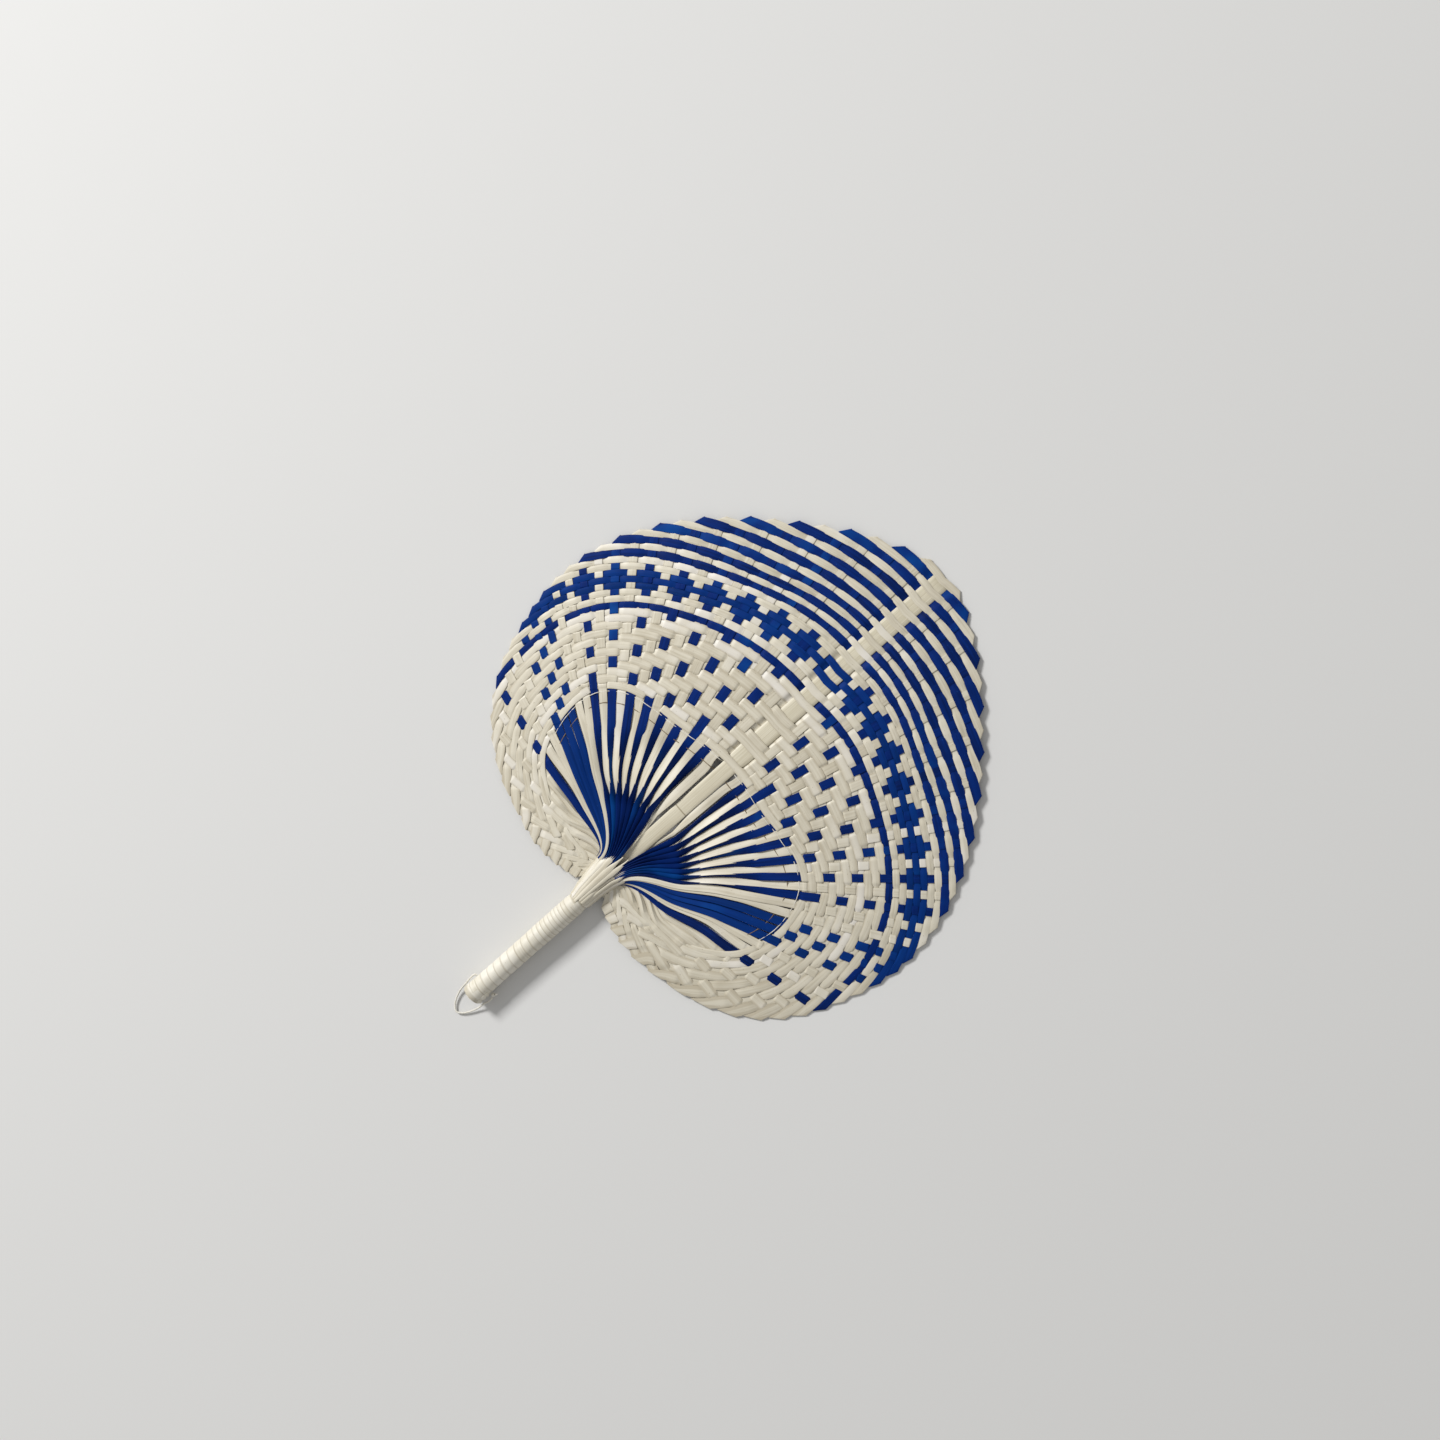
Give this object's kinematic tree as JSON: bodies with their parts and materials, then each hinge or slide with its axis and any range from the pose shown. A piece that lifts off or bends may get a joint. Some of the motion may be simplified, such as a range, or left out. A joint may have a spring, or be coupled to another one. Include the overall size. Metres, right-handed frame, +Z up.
{
  "type": "woven hand fan",
  "caption": "Heart-shaped hand fan plaited from natural and blue palm strips on a bamboo splint, with a wound round handle and a thin hanging loop.",
  "frame": {"origin": "on the table, under the middle of the fan's length and width, the hanging loop left out", "axes": "+Y along the handle's axis from the butt to the tip of the blade, +X to the right as seen from the front, +Z up out of the front of the fan, which lies on its back"},
  "size_m": [0.2944, 0.3786, 0.0128],
  "materials": {
    "natural_palm": "satin, undyed palm strip with fine lengthwise fibres",
    "blue_palm": "satin, palm strip dyed deep blue, slightly uneven",
    "bamboo": "satin, split bamboo with its grain and a node",
    "pale_thread": "matte, twisted thread",
    "brown_thread": "matte, twisted fibre"
  },
  "bodies": {
    "root": {"strip_01_natural": "natural_palm", "strip_02_blue": "blue_palm", "strip_03_natural": "natural_palm", "strip_04_blue": "blue_palm", "strip_05_natural": "natural_palm", "strip_06_blue": "blue_palm", "strip_07_natural": "natural_palm", "strip_08_blue": "blue_palm", "strip_09_natural": "natural_palm", "strip_10_blue": "blue_palm", "strip_11_natural": "natural_palm", "strip_12_blue": "blue_palm", "strip_13_natural": "natural_palm", "strip_14_blue": "blue_palm", "strip_15_natural": "natural_palm", "strip_16_blue": "blue_palm", "strip_17_natural": "natural_palm", "strip_18_natural": "natural_palm", "strip_19_blue": "blue_palm", "strip_20_blue": "blue_palm", "strip_21_blue": "blue_palm", "strip_22_natural": "natural_palm", "strip_23_natural": "natural_palm", "strip_24_blue": "blue_palm", "strip_25_natural": "natural_palm", "strip_26_natural": "natural_palm", "strip_27_natural": "natural_palm", "strip_28_natural": "natural_palm", "strip_29_natural": "natural_palm", "strip_30_natural": "natural_palm", "strip_31_natural": "natural_palm", "strip_32_natural": "natural_palm", "strip_33_natural": "natural_palm", "strip_34_natural": "natural_palm", "strip_35_natural": "natural_palm", "strip_36_natural": "natural_palm", "bamboo_splint": "bamboo", "gathered_tails": "natural_palm", "handle_winding": "natural_palm", "edge_thread_pale": "pale_thread", "edge_thread_brown": "brown_thread", "loop_knot": "pale_thread", "hanging_loop": "pale_thread"}
  },
  "joints": []
}
